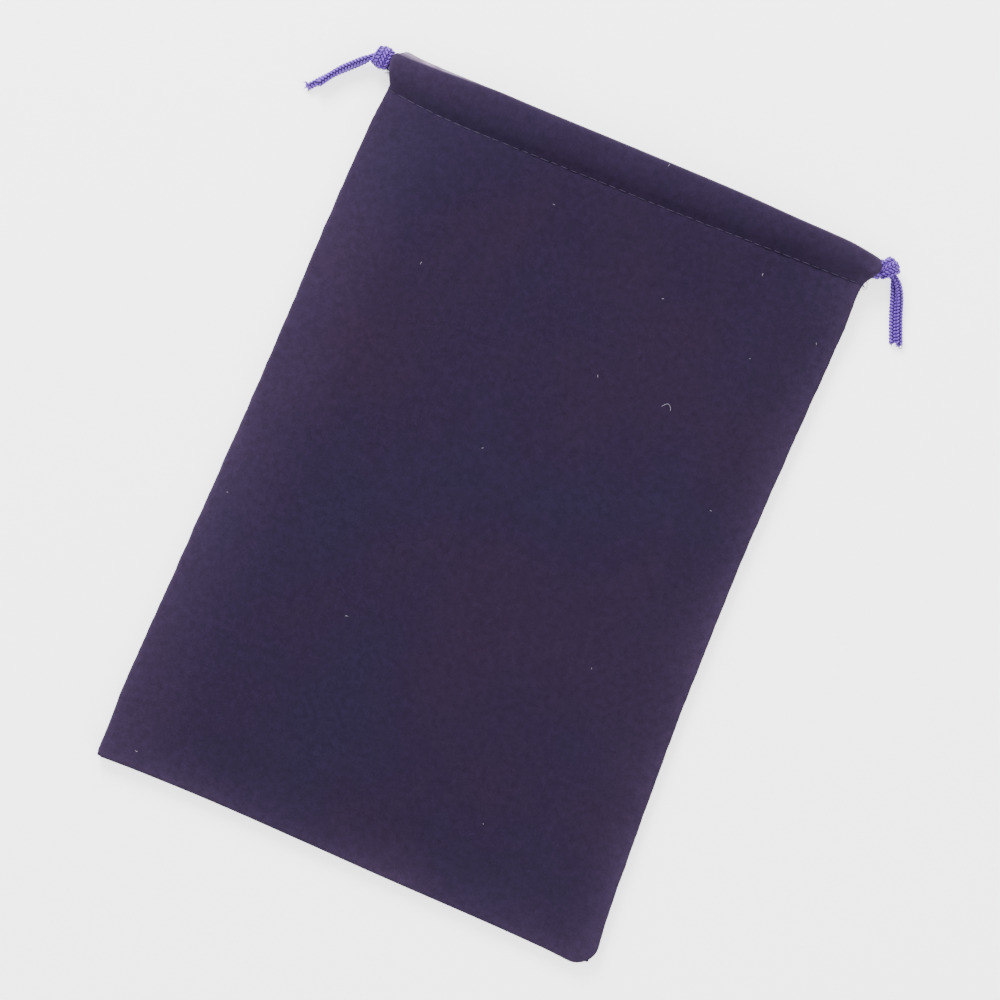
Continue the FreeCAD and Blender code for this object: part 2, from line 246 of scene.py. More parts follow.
def makeYarn():
    material, nodes, links, shader = newMaterial("braidedYarn")
    coords = nodes.new("ShaderNodeTexCoord")
    stretch = addNode(nodes, "ShaderNodeMapping")
    stretch.inputs["Scale"].default_value = (braidYarn["filaments"], 0.6, 1)
    lines = addNode(nodes, "ShaderNodeTexNoise", Scale=4.0, Detail=2.0)
    shade = ramp(nodes, [(0.34, braidYarn["dark"]), (0.64, braidYarn["light"])])
    bump = addNode(nodes, "ShaderNodeBump", Strength=0.5, Distance=0.00006)
    links.new(coords.outputs["UV"], stretch.inputs["Vector"])
    links.new(stretch.outputs["Vector"], lines.inputs["Vector"])
    links.new(lines.outputs["Fac"], shade.inputs["Fac"])
    links.new(shade.outputs["Color"], shader.inputs["Base Color"])
    links.new(lines.outputs["Fac"], bump.inputs["Height"])
    links.new(bump.outputs["Normal"], shader.inputs["Normal"])
    shader.inputs["Roughness"].default_value = 0.5
    shader.inputs["Specular IOR Level"].default_value = 0.4
    shader.inputs["Sheen Weight"].default_value = braidYarn["sheen"]
    shader.inputs["Sheen Roughness"].default_value = 0.4
    shader.inputs["Sheen Tint"].default_value = (*braidYarn["sheenTint"], 1)
    return material


def makePlain(name, colour, roughness, speckle):
    # a spun thread or fibre: one colour, broken up along its length
    material, nodes, links, shader = newMaterial(name)
    coords = nodes.new("ShaderNodeTexCoord")
    flecks = addNode(nodes, "ShaderNodeTexNoise", Scale=4000.0, Detail=2.0)
    low = tuple(channel * (1 - speckle) for channel in colour)
    high = tuple(min(channel * (1 + speckle), 1) for channel in colour)
    shade = ramp(nodes, [(0.35, low), (0.65, high)])
    links.new(coords.outputs["Object"], flecks.inputs["Vector"])
    links.new(flecks.outputs["Fac"], shade.inputs["Fac"])
    links.new(shade.outputs["Color"], shader.inputs["Base Color"])
    shader.inputs["Roughness"].default_value = roughness
    return material


velourCloth = makeVelour()
yarn = makeYarn()
# painted shade: the core is coloured near black so that the gaps between the yarn crossings look shaded
shadedYarnCore = makePlain("shadedYarnCore", (0.010, 0.003, 0.045), 0.9, 0.2)
sewingThread = makePlain("sewingThread", (0.027, 0.016, 0.048), 0.7, 0.45)
fluff = makePlain("fluff", (0.22, 0.20, 0.25), 0.8, 0.2)
print("materials made")


# drawcords: each is one cord, from a tail tip through its knot, once round the mouth and out again

cordMake = {
    "size": 1.9 * mm,
    "pitch": 0.85 * mm,      # one yarn crossing to the next
    "columns": 4,            # rows of crossings round the cord
    "grain": (0.31 * mm, 0.3 * mm, 0.64 * mm),    # half sizes of a crossing
    "tilt": 33,              # degrees between a crossing and the cord
    "core": 0.62 * mm,       # radius of the inside, which is painted dark as the shade between the crossings
    "columnRadius": 0.7 * mm,
    "knotPull": 0.74,        # the strands are squeezed in the knot
    "knotReach": 3.2 * mm,   # how far from the knot's middle the squeeze holds
    "knotFade": 1.6 * mm,    # and the run over which it ends
}

# one strand's way through its knot: out from the bag, across, up; first strand over, second strand under
knotOver = [
    (2.1, 0.3, 0.8), (0.0, 0.5, 0.7), (-1.8, -0.4, 0.6), (-1.9, -1.9, 0.3), (-1.75, -1.85, 1.9),
    (-1.4, 1.9, 1.95), (-0.9, 2.25, -2.2), (-0.2, -2.3, -2.25), (0.25, -2.4, 2.3), (0.65, 2.35, 2.25),
    (1.05, 2.1, -1.9), (1.5, 0.2, -1.2), (0.5, -0.4, -0.3), (-2.2, -0.2, 0.9),
]
knotUnder = [
    (2.1, -0.3, -0.8), (0.0, -0.5, -0.6), (-1.8, 0.5, -0.4), (-1.9, 1.9, -0.6), (-1.7, 1.9, -1.9),
    (-1.2, -2.15, -2.1), (-0.7, -2.4, 2.3), (-0.3, 2.4, 2.3), (0.2, 2.3, -2.25), (0.9, -2.15, -2.1),
    (1.35, -1.9, 1.95), (1.7, 1.85, 1.9), (1.9, 1.85, -1.0), (1.75, 0.4, -0.9), (0.45, 0.5, -0.3),
    (-2.2, 0.3, -0.9),
]


def knotPoints(turns, centre, out):
    # the knot's own way out, across and up, in millimetres, turned to lie as this knot lies
    outward = Vector((math.cos(math.radians(out)), math.sin(math.radians(out)), 0))
    across = Vector((-outward.y, outward.x, 0))
    return [Vector(centre) + (outward * a + across * b) * mm + Vector((0, 0, c * mm)) for a, b, c in turns]


leftDrawcord = {
    "body": "left_drawcord",
    "nodes": ("left_cord_loop", "left_knot", "left_tail_upper", "left_tail_lower"),
    "knot": (-0.0690, 0.0915, 0.0033),
    "out": 180,
    "firstTail": [(-0.0813, 0.0792, 0.00295), (-0.0785, 0.0839, 0.0030), (-0.0749, 0.0876, 0.0035),
                  (-0.0727, 0.0896, 0.0041)],
    "loop": [(-0.0635, 0.0898, 0.0054), (-0.050, 0.0899, 0.0075), (-0.040, 0.0899, 0.0091),
             (-0.030, 0.0899, 0.0097), (0.030, 0.0900, 0.0097), (0.040, 0.0900, 0.0091),
             (0.050, 0.0900, 0.0075), (0.0616, 0.0901, 0.0055), (0.06525, 0.0901, 0.0054),
             (0.06525, 0.0901, 0.0018), (0.0616, 0.0901, 0.0018), (-0.0635, 0.0898, 0.0018)],
    "lastTail": [(-0.0729, 0.0893, 0.0018), (-0.0752, 0.0871, 0.00105), (-0.0794, 0.0829, 0.00105),
                 (-0.0834, 0.0778, 0.00105)],
    "exit": (-0.0660, 0.0904, 0.0050),
    "turn": (12, 10),         # where the braid's columns face at the two tips, in degrees
    "length": 0.374,
}
rightDrawcord = {
    "body": "right_drawcord",
    "nodes": ("right_cord_loop", "right_knot", "right_tail_inner", "right_tail_outer"),
    "knot": (0.0669, 0.0927, 0.0033),
    "out": -37,
    "firstTail": [(0.0772, 0.0766, 0.00105), (0.0745, 0.0826, 0.00105), (0.0726, 0.0879, 0.0020),
                  (0.0703, 0.0909, 0.0036)],
    "loop": [(0.0635, 0.0924, 0.0054), (0.050, 0.0923, 0.0075), (0.040, 0.0922, 0.0091),
             (0.030, 0.0922, 0.0097), (-0.030, 0.0920, 0.0097), (-0.040, 0.0919, 0.0091),
             (-0.050, 0.0918, 0.0075), (-0.0616, 0.0917, 0.0055), (-0.06525, 0.0917, 0.0054),
             (-0.06525, 0.0917, 0.0018), (-0.0616, 0.0917, 0.0018), (0.0635, 0.0924, 0.0018)],
    "lastTail": [(0.0693, 0.0915, 0.0018), (0.0711, 0.0874, 0.0013), (0.0728, 0.0824, 0.00105),
                 (0.0755, 0.0763, 0.00105)],
    "exit": (0.0650, 0.0930, 0.0050),
    "turn": (4, -6),
    "length": 0.3715,
}


def routeLine(points):
    # the smooth line of a route
    line = curveMesh(points, 12)
    spots = [vert.co.copy() for vert in line.vertices]
    bpy.data.meshes.remove(line)
    return spots


def evenly(spots, step):
    # points at even steps along a line
    length = sum((b - a).length for a, b in zip(spots, spots[1:]))
    count = round(length / step)
    even, walked, goal = [spots[0]], 0.0, length / count
    for a, b in zip(spots, spots[1:]):
        run = (b - a).length
        while run > 0 and walked + run >= goal * len(even) and len(even) < count:
            even.append(a.lerp(b, (goal * len(even) - walked) / run))
        walked += run
    return even + [spots[-1]], length


def turnedFrames(spots, turn):
    # carries a cross direction along the line, then twists it evenly so that both tips face as asked
    ends = zip(spots[:1] + spots[:-1], spots[1:] + spots[-1:])
    ways = [(after - before).normalized() for before, after in ends]
    side = ways[0].cross(Vector((0, 0, 1))).normalized()
    sides = [side]
    for before, way in zip(ways, ways[1:]):
        side = before.rotation_difference(way) @ side
        side = (side - way * side.dot(way)).normalized()
        sides.append(side)
    flat = ways[-1].cross(Vector((0, 0, 1))).normalized()
    miss = math.atan2(flat.cross(sides[-1]).dot(ways[-1]), flat.dot(sides[-1]))
    frames = []
    for i, (way, side) in enumerate(zip(ways, sides)):
        share = i / (len(ways) - 1)
        angle = math.radians(mix(turn[0], turn[1], share)) - miss * share
        side = Matrix.Rotation(angle, 3, way) @ side
        frames.append((way, side, way.cross(side)))
    return frames


def repeated(bm, count, step, weld):
    # the same short length again and again along X, welded to the next where it is one tube
    holder = place("holder", bm, [])
    row = holder.modifiers.new("row", "ARRAY")
    row.count = count
    row.use_relative_offset = False
    row.use_constant_offset = True
    row.constant_offset_displace = (step, 0, 0)
    row.use_merge_vertices = weld
    row.merge_threshold = 1e-6
    mesh = meshOf(holder)
    bpy.data.objects.remove(holder)
    return mesh


def straightBraid(length):
    # a straight length of braid along X: yarn crossings in columns round a core painted dark as the shade
    # between them
    count = round(length / cordMake["pitch"])
    step = length / count
    wide, deep, half = cordMake["grain"]
    bm = bmesh.new()
    bm.loops.layers.uv.new("UVMap")
    for column in range(cordMake["columns"]):
        turn = Matrix.Rotation(2 * math.pi * (column + 0.5) / cordMake["columns"], 4, "X")
        tilt = Matrix.Rotation(math.radians(cordMake["tilt"]) * (1 if column % 2 else -1), 4, "Z")
        out = Matrix.Translation((step * (0.25 + 0.5 * (column % 2)), 0, cordMake["columnRadius"]))
        size = Matrix.Diagonal((wide, half, deep, 1)) @ Matrix.Rotation(math.pi / 2, 4, "X")
        bmesh.ops.create_uvsphere(bm, u_segments=8, v_segments=5, radius=1, calc_uvs=True,
                                  matrix=turn @ out @ tilt @ size)
    yarns = repeated(bm, count, step, False)
    bm = bmesh.new()
    lying = Matrix.Translation((step / 2, 0, 0)) @ Matrix.Rotation(math.pi / 2, 4, "Y")
    bmesh.ops.create_cone(bm, cap_ends=False, segments=8, radius1=cordMake["core"],
                          radius2=cordMake["core"], depth=step, matrix=lying)
    core = repeated(bm, count, step, True)
    bm = bmesh.new()
    bm.from_mesh(yarns)
    crossings = len(bm.faces)
    bm.from_mesh(core)
    bm.faces.ensure_lookup_table()
    for face in bm.faces[crossings:]:
        face.material_index = 1
    return bm


def drawcord(name, cord):
    # the straight braid laid along its route; gives the piece and the line it follows
    first = [Vector(spot) for spot in cord["firstTail"]]
    last = [Vector(spot) for spot in cord["lastTail"]]
    loop = [Vector(spot) for spot in cord["loop"]]
    over = knotPoints(knotOver, cord["knot"], cord["out"])
    under = knotPoints(knotUnder, cord["knot"], cord["out"])
    route = first + over + loop + under[::-1] + last
    spots, length = evenly(routeLine(route), cordMake["pitch"] / 2)
    frames = turnedFrames(spots, cord["turn"])
    middle = Vector(cord["knot"])
    bm = straightBraid(length)
    for vert in bm.verts:
        walked = min(max(vert.co.x / length, 0), 1) * (len(spots) - 1)
        i = min(int(walked), len(spots) - 2)
        share = walked - i
        spot = spots[i].lerp(spots[i + 1], share)
        side = frames[i][1].lerp(frames[i + 1][1], share)
        up = frames[i][2].lerp(frames[i + 1][2], share)
        freed = ease(((spot - middle).length - cordMake["knotReach"]) / cordMake["knotFade"])
        squeeze = mix(cordMake["knotPull"], 1, freed)
        vert.co = spot + (side * vert.co.y + up * vert.co.z) * squeeze
    piece = place(name, bm, [yarn, shadedYarnCore])
    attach(piece, cord["body"])
    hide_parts(*cord["nodes"])
    print(name, "is", round(length, 4), "m long,", len(piece.data.polygons), "faces")
    return piece, spots


leftCord, leftLine = drawcord("leftDrawcord", leftDrawcord)
rightCord, rightLine = drawcord("rightDrawcord", rightDrawcord)
print("drawcords made")


# the pouch's outline, in millimetres, mouth towards +Y

pouch = {
    "cloth": 0.8,      # thickness with its pile
    "roll": 0.5,       # fold at a seam, to the middle of the cloth
    "tuck": 2.4,       # cloth turned in past the fold
    "step": 1.15,      # mesh spacing
    "flat": (0.071, 0.209),      # half of a panel before sewing, in metres
    "halfWidth": 64,   # roughly, to start from
    "length": 180,     # below the stitches
    # side edges, each at its height up the pouch
    "left": [(-96, -66.1), (-88, -66.2), (-75, -66.55), (-50, -66.1), (0, -65.45), (20, -65.4),
             (50, -65.55), (75, -65.15), (84, -64.4), (86, -64.5), (88, -65.6), (90, -66.2),
             (92.6, -66.4), (93.5, -66.1), (94.2, -65.5), (95, -64.4), (97, -64.2)],
    "right": [(-96, 67.4), (-91, 67.0), (-85, 66.3), (-75, 65.5), (-50, 63.95), (-30, 62.95),
              (0, 62.1), (20, 61.85), (50, 62.25), (75, 62.6), (83, 62.15), (86, 62.4),
              (88, 63.1), (90, 64.4), (92, 64.8), (93.4, 64.2), (95, 62.6), (97, 62.4)],
    # edges and stitches that run across it
    "mouth": [(-66, 93.9), (-62, 93.8), (-56, 93.9), (-50, 94.1), (-40, 94.5), (-30, 94.5),
              (0, 94.9), (25, 95.1), (40, 94.9), (55, 95.0), (60, 94.6), (65, 93.9)],
    "backMouth": [(-66, 95.0), (-64, 95.4), (-60, 95.1), (-50, 95.1), (-42, 95.2), (-25, 94.9),
                  (0, 94.9), (25, 95.0), (45, 94.8), (60, 94.4), (65, 94.0)],
    "bottom": [(-66, -95.6), (-55, -95.15), (-35, -94.85), (-10, -95.1), (10, -95.4), (40, -95.6),
               (55, -95.9), (62, -96.3), (67, -96.3)],
    "stitches": [(-65, 84.6), (-52, 83.4), (-39, 83.1), (-3, 83.9), (16, 84.3), (35, 85.0),
                 (54, 85.9), (63, 86.3)],
    "corners": {"left": 0.7, "right": 5.0},      # radius of each bottom corner
    "waver": [(0.16, 4.5), (0.08, 1.4)],         # the side edges' unevenness: height and size
}
hem = {
    # underside of the front hem, from the middle of the mouth out to the cords' ends
    "base": [(0, 7.9), (30, 7.85), (37, 7.55), (42, 6.95), (50, 5.7), (58, 4.5), (63, 3.8), (67, 3.6)],
}
panel = {
    "rim": 3.2,        # middle of the front cloth over the seam allowances
    "crown": [(-96, 3.2), (-75, 5.45), (-30, 6.25), (30, 7.1), (66, 7.95), (86, 8.9)],
    "slope": 19,       # run from an edge up to the crown
    "lift": 1.05,      # middle of the cloth over the hem's underside, at the stitches
    "liftRun": 20,
    "calm": 9,         # run from an edge to the full sag
    "sag": [(0.32, 24, 0.7, 1.5), (0.12, 8, 1, 4.2)],      # height, size, stretch and seed of each
    # ripples below the stitches, and how far down and in they fade
    "pucker": {"height": 0.1, "turns": 1.35, "sway": 2, "swaySize": 9, "fade": 5},
    "groove": {"depth": 0.3, "half": 0.9},      # where the stitches draw the cloth down
}


def hemBase(x):
    return through(hem["base"], abs(x))


def frontLevel(x, y):
    # middle of the front cloth below the stitches
    left, right = through(pouch["left"], y), through(pouch["right"], y)
    bottom, stitches = through(pouch["bottom"], x), through(pouch["stitches"], x)
    side = min(x - left, right - x)
    rise = ease(side / panel["slope"]) * ease((y - bottom) / panel["slope"])
    level = mix(panel["rim"], through(panel["crown"], y), rise)
    below = stitches - y
    level = mix(level, hemBase(x) + panel["lift"], ease(1 - below / panel["liftRun"]))
    inside = ease(side / panel["calm"]) * ease((y - bottom) / panel["calm"])
    level += inside * sum(height * wave(x, y * stretch, size, seed)
                          for height, size, stretch, seed in panel["sag"])
    pucker, groove = panel["pucker"], panel["groove"]
    ripple = math.sin(x * pucker["turns"] + pucker["sway"] * wave(x, 0, pucker["swaySize"], 7.7))
    level += pucker["height"] * ripple * math.exp(-below / pucker["fade"]) * ease(side / pucker["fade"])
    return level - groove["depth"] * math.exp(-(below / groove["half"]) ** 2)


def backLevel(x, y):
    # middle of the back cloth, which lies on the table
    return pouch["cloth"] / 2


# path of a hem round its channel: share of its depth, distance on from there, height in the hem
frontHemPath = [
    (0, 0, 0.75), (0, 1.0, 1.35), (0, 2.8, 2.5), (0.5, 0, 3.22), (1, -2.6, 3.2), (1, -1.0, 2.75),
    (1, -0.4, 1.8), (1, -1.0, 0.85), (1, -2.6, 0.42), (0.5, 0, 0.4), (0, 0.8, 0.3), (0, -0.7, 0.25),
]
backHemPath = [
    (0, 0, 0.4), (0.25, 0, 0.4), (1, -2.6, 0.42), (1, -1.0, 0.85), (1, -0.4, 1.8), (1, -1.0, 2.75),
    (1, -2.6, 3.18), (0.5, 0, 3.2), (0, 2.8, 2.5), (0, 1.0, 1.45), (0, 0, 1.25), (0, -0.7, 1.25),
]


def hemPlaces(path, x, mouth):
    # the stitches' place, and how far each point of the hem's path lies from them
    stitches = through(pouch["stitches"], x)
    depth = through(mouth, x) - stitches
    return stitches, [(i, share * depth + on) for i, (share, on, up) in enumerate(path)]


def hemPoint(path, at, x, mouth, base, inward):
    # a point of the hem's path and the way to its inside
    stitches, places = hemPlaces(path, x, mouth)
    heights = [(i, up) for i, (share, on, up) in enumerate(path)]
    here = Vector((0, through(places, at), through(heights, at)))
    after = Vector((0, through(places, at + 0.05), through(heights, at + 0.05)))
    before = Vector((0, through(places, at - 0.05), through(heights, at - 0.05)))
    along = (after - before).normalized()
    inside = Vector((0, -along.z, along.y)) * inward
    return Vector((x, stitches + here.y, base(x) + here.z)), inside


def spread(low, high, step):
    # even values from low to high, about a step apart
    count = max(1, round((high - low) / step))
    return [low + (high - low) * i / count for i in range(count + 1)]


def clothPanel(level, path, mouth, base, inward):
    # one cloth from the seam tucks, over the body and round its hem; inward is the body's inner side
    tuck = pouch["tuck"]
    turn = [(math.pi * i / 6, 0.0) for i in range(1, 7)] + [(math.pi, tuck / 2), (math.pi, tuck)]
    acrossKeys = [("tuck", -1, angle, on) for angle, on in reversed(turn)]
    acrossKeys += [("flat", 0, share, 0) for share in columnShares()]
    acrossKeys += [("tuck", 1, angle, on) for angle, on in turn]
    alongKeys = [("tuck", angle, on) for angle, on in reversed(turn)]
    alongKeys += [("body", share, 0) for share in rowShares()]
    hemRows = spread(0, len(path) - 1, 0.25)[1:]      # four from one point of the path to the next
    alongKeys += [("hem", at, 0) for at in hemRows]
    bm = bmesh.new()
    columns, rows = len(acrossKeys), len(alongKeys)
    bmesh.ops.create_grid(bm, x_segments=columns - 1, y_segments=rows - 1, size=0.5)
    for vert in bm.verts:
        i = round((vert.co.x + 0.5) * (columns - 1))
        j = round((vert.co.y + 0.5) * (rows - 1))
        vert.co = clothPoint(acrossKeys[i], alongKeys[j], level, path, mouth, base, inward) * mm
    return bm


def columnShares():
    # columns from edge to edge, with more beside the folds
    inner = spread(-1, 1, pouch["step"] / pouch["halfWidth"])
    edge = [0.9925, 0.985]
    return sorted(set(inner + edge + [-share for share in edge]))


def rowShares():
    # rows from the bottom to the stitches, with more at both ends
    inner = spread(0, 1, pouch["step"] / pouch["length"])
    return sorted(set(inner + [0.0025, 0.9965, 0.993, 0.9895]))


def clothPoint(across, along, level, path, mouth, base, inward):
    # a point of the cloth: first on the body or the hem, then turned in where it is tucked
    roll = pouch["roll"]
    side = across[1]
    share = across[2] if across[0] == "flat" else side
    if along[0] == "hem":
        y = hemY(path, along[1], share * pouch["halfWidth"], mouth)
        x = columnX(share, y)
        spot, inside = hemPoint(path, along[1], x, mouth, base, inward)
        inside *= 1 - ease(along[1] - len(path) + 3)
    else:
        up = along[1] if along[0] == "body" else 0
        x = share * pouch["halfWidth"]
        for attempt in range(3):      # the bottom edge and the side edge depend on each other
            low, high = through(pouch["bottom"], x) + roll, through(pouch["stitches"], x)
            y = mix(low, high, up)
            x = columnX(share, y)
        spot = Vector((x, y, level(x, y)))
        inside = Vector((0, 0, inward))
        spot = roundCorner(spot)
    if across[0] == "tuck":
        spot += Vector((side, 0, 0)) * (roll * math.sin(across[2]) - across[3])
    if along[0] == "tuck":
        spot += Vector((0, -1, 0)) * (roll * math.sin(along[1]) - along[2])
    turned = max(across[2] if across[0] == "tuck" else 0, along[1] if along[0] == "tuck" else 0)
    return spot + inside * roll * (1 - math.cos(turned))


def hemY(path, at, x, mouth):
    # how far up the pouch a point of the hem's path lies
    stitches, places = hemPlaces(path, x, mouth)
    return stitches + through(places, at)


def columnX(share, y):
    # a column's place between the two edges, which waver a little
    (broad, broadSize), (fine, fineSize) = pouch["waver"]
    left = through(pouch["left"], y) + pouch["roll"]
    left = left + broad * wave(0, y, broadSize, 2.2) + fine * wave(0, y, fineSize, 6.1)
    right = through(pouch["right"], y) - pouch["roll"]
    right = right + broad * wave(0, y, broadSize, 9.3) + fine * wave(0, y, fineSize, 3.9)
    return mix(left, right, (share + 1) / 2)


def roundCorner(spot):
    # pulls a square corner of the outline in to a round one
    for side, edge in ((-1, "left"), (1, "right")):
        radius = pouch["corners"][edge]
        reach = side * (through(pouch[edge], spot.y) - side * pouch["roll"] - spot.x)
        drop = spot.y - through(pouch["bottom"], spot.x) - pouch["roll"]
        if reach < radius and drop < radius:
            p, q = 1 - max(reach, 0) / radius, 1 - max(drop, 0) / radius
            newP, newQ = p * math.sqrt(1 - q * q / 2), q * math.sqrt(1 - p * p / 2)
            spot.x += side * (newP - p) * radius
            spot.y -= (newQ - q) * radius
    return spot


pile = {
    # how much painted sheen lies along each edge, and the run over which that fades
    "side": (0.5, 9),
    "foot": (0.42, 8),
    "top": (0.3, 4),
    "rim": (0.3, 1.2),
    "frontFold": 0.24,      # how much pale ground shows on the mouth's fold, front and back
    "backFold": 0.85,
}


def fading(part, distance):
    # how much painted sheen lies at a distance from one of its edges
    amount, run = pile[part]
    return amount * math.exp(-max(distance, 0) / run)


def paintedEdgeSheen(x, y):
    # painted sheen: strongest on the very edge, fading inwards
    side = min(x - through(pouch["left"], y), through(pouch["right"], y) - x)
    foot = y - through(pouch["bottom"], x)
    top = through(pouch["mouth"], x) - y
    tone = fading("side", side) + fading("foot", foot) + fading("top", top)
    tone += fading("rim", min(side, foot))
    return min(tone * (1 + 0.35 * wave(x, y, 14, 5.5)), 1)


def bareTone(name, x, y, z):
    # a hem's fold shows its pale ground: clearly on the back beside the left knot, faintly on the front
    uneven = 0.75 + 0.5 * wave(x, z, 2.2, 8.8)
    if name == "frontCloth":
        fold = ease((y - through(pouch["mouth"], x) + 0.45) / 0.4)
        return pile["frontFold"] * uneven * fold * ease((z - hemBase(x) - 1.2) / 0.5)
    fold = ease((y - through(pouch["backMouth"], x) + 1.35) / 0.4) * ease((z - 1.5) / 0.9)
    return pile["backFold"] * uneven * fold * ease((x + 66) / 2) * ease((-42 - x) / 9)


# the pouch's two sides, each with the drawcord that hooks round it
bagSides = ((-1, "left", "right_drawcord"), (1, "right", "left_drawcord"))


def halves(name, bm, node):
    # the finished cloth is cut down its middle into one piece for each side of the pouch
    for side, word, cord in bagSides:
        half = bm.copy()
        everything = half.verts[:] + half.edges[:] + half.faces[:]
        cut = bmesh.ops.bisect_plane(half, geom=everything, dist=1e-7, plane_co=(0, 0, 0),
                                     plane_no=(side, 0, 0), clear_inner=True)
        rim = [item for item in cut["geom_cut"] if isinstance(item, bmesh.types.BMEdge)]
        bmesh.ops.edgeloop_fill(half, edges=rim)
        piece = place(f"{name}_{word}", half, [velourCloth])
        for edge in piece.data.edges:
            a, b = (piece.data.vertices[n].co.x for n in edge.vertices)
            edge.use_edge_sharp = abs(a) < 1e-7 and abs(b) < 1e-7
        # painted sheen along the edges, which the velour material turns into a lighter colour
        tone = piece.data.attributes.new("edge", "FLOAT", "POINT")
        bare = piece.data.attributes.new("bare", "FLOAT", "POINT")
        for vert in piece.data.vertices:
            x, y, z = vert.co / mm
            tone.data[vert.index].value = paintedEdgeSheen(x, y)
            bare.data[vert.index].value = bareTone(name, x, y, z)
        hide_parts(node)
        follow(piece)
    bm.free()


def follow(piece):
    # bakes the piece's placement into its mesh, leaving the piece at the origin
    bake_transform(piece)


def thicken(bm, outward):
    # gives the cloth its thickness, half to each side
    bmesh.ops.recalc_face_normals(bm, faces=bm.faces[:])
    # the face nearest the pouch's middle shows which way the cloth faces
    middle = min(bm.faces, key=lambda face: (face.calc_center_median() - Vector((0, 0, 0.004))).length)
    if middle.normal.z * outward < 0:
        bmesh.ops.reverse_faces(bm, faces=bm.faces[:])
    holder = place("holder", bm, [])
    solid = holder.modifiers.new("thickness", "SOLIDIFY")
    solid.thickness = pouch["cloth"] * mm
    solid.offset = 0
    thick = meshOf(holder)
    made = bmesh.new()
    made.from_mesh(thick)
    bpy.data.objects.remove(holder)
    bpy.data.meshes.remove(thick)
    return made


front = thicken(clothPanel(frontLevel, frontHemPath, pouch["mouth"], hemBase, -1), 1)
back = thicken(clothPanel(backLevel, backHemPath, pouch["backMouth"], lambda x: 0, 1), -1)
halves("frontCloth", front, "front_panel")
halves("backCloth", back, "back_panel")
print("cloth made")


# sewing threads: rows of separate stitches, one piece for each side of the pouch

stitch = {
    "length": 2.35,
    "pitch": 2.55,
    "thick": 0.075,    # half of the thread's thickness
    "waver": 0.12,
    "channelEnds": {"left": (-64.6, 0), "right": (0, 61.6)},
    "seamEnds": (-92.5, 82),
    "seamIn": 1.6,     # from the edge to the seam
    "seamUp": 1.8,
    "backUp": 0.16,
    "tacks": {"left": (-64.4, 84.4), "right": (61.8, 85.8)},      # lowest stitch of each
    "tackLength": 1.5,
    "tackStep": (0.15, 0.3, 0.9),      # outwards, towards the mouth, up
}


def stitchRow(name, node, spots, length):
    # a short bar of thread at each spot, lying along the row
    bm = bmesh.new()
    for i, spot in enumerate(spots):
        a, b = spots[max(i - 1, 0)], spots[min(i + 1, len(spots) - 1)]
        way = (b - a).to_track_quat("X", "Z").to_matrix().to_4x4()
        jitter = Vector((0, stitch["waver"] * noise.noise(spot * 1.7), 0))
        reach = length * (1 + 0.3 * noise.noise(spot * 2.3)) / 2
        size = Matrix.Diagonal((reach * mm, stitch["thick"] * mm, stitch["thick"] * mm, 1))
        bmesh.ops.create_uvsphere(bm, u_segments=8, v_segments=6, radius=1,
                                  matrix=Matrix.Translation((spot + jitter) * mm) @ way @ size)
    piece = place(name, bm, [sewingThread])
    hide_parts(node)
    follow(piece)


def rowAlong(low, high, height, line):
    # evenly spaced stitches along a line, each at its height
    count = round((high - low) / stitch["pitch"])
    across = [mix(low, high, (i + 0.5) / count) for i in range(count)]
    return [Vector((*line(at), height(*line(at)))) for at in across]


def channelLine(x):
    return x, through(pouch["stitches"], x)


def onChannel(x, y):
    # on top of the front cloth where it is stitched down
    return max(frontLevel(x, y), hemBase(x) + 0.85) + pouch["cloth"] / 2 + 0.08


def leftSeamLine(y):
    return through(pouch["left"], y) + stitch["seamIn"], y


def rightSeamLine(y):
    return through(pouch["right"], y) - stitch["seamIn"], y


for side, word, cord in bagSides:
    ends = stitch["channelEnds"][word]
    row = rowAlong(*ends, onChannel, channelLine)
    stitchRow(f"frontChannelStitches_{word}", "front_channel_thread", row, stitch["length"])
    row = rowAlong(*ends, lambda x, y: stitch["backUp"], channelLine)
    stitchRow(f"backChannelStitches_{word}", "back_channel_thread", row, stitch["length"])
    seam = leftSeamLine if side < 0 else rightSeamLine
    row = rowAlong(*stitch["seamEnds"], lambda x, y: stitch["seamUp"], seam)
    stitchRow(f"{word}SeamStitches", f"{word}_seam_thread", row, stitch["length"])
    x, y = stitch["tacks"][word]
    out, on, up = stitch["tackStep"]
    tack = [Vector((x + side * out * i, y + on * i, 3.0 + up * i)) for i in range(3)]
    stitchRow(f"{word}SlitTack", f"{word}_slit_tack", tack, stitch["tackLength"])
bottomThread = bpy.data.objects["bottom_seam_thread"]
bottomThread.data.materials.clear()
bottomThread.data.materials.append(sewingThread)
print("threads made")


# loose fibres: frayed cord tips, frayed hem ends and a little lint

def fibres(name, paths, thick, material):
    # thin curved fibres as one mesh, each following three or four points
    bm = bmesh.new()
    for path in paths:
        mesh = curveMesh([Vector(spot) * mm for spot in path], 4, thick * mm)
        bm.from_mesh(mesh)
        bpy.data.meshes.remove(mesh)
    bm.loops.layers.uv.verify()
    piece = place(name, bm, [material])
    return piece


def tuft(tip, way, count, length, spreadAngle, seed, level=0.35):
    # fibres that leave a cord's cut end and fan out
    draws = random.Random(seed)
    paths = []
    for i in range(count):
        turn = math.radians(draws.uniform(-spreadAngle, spreadAngle))
        flat = Matrix.Rotation(turn, 3, "Z") @ Vector((*way, 0)).normalized()
        start = Vector(tip) + Vector([draws.uniform(-off, off) for off in (0.35, 0.35, 0.4)])
        run = length * draws.uniform(0.55, 1.0)
        bend = Matrix.Rotation(turn * 0.8, 3, "Z") @ flat
        middle = start + flat * run * 0.5
        end = middle + bend * run * 0.5
        end.z = max(mix(end.z, level, 0.6), 0.25)
        paths.append([start - flat * 0.5, start, middle, end])
    return paths


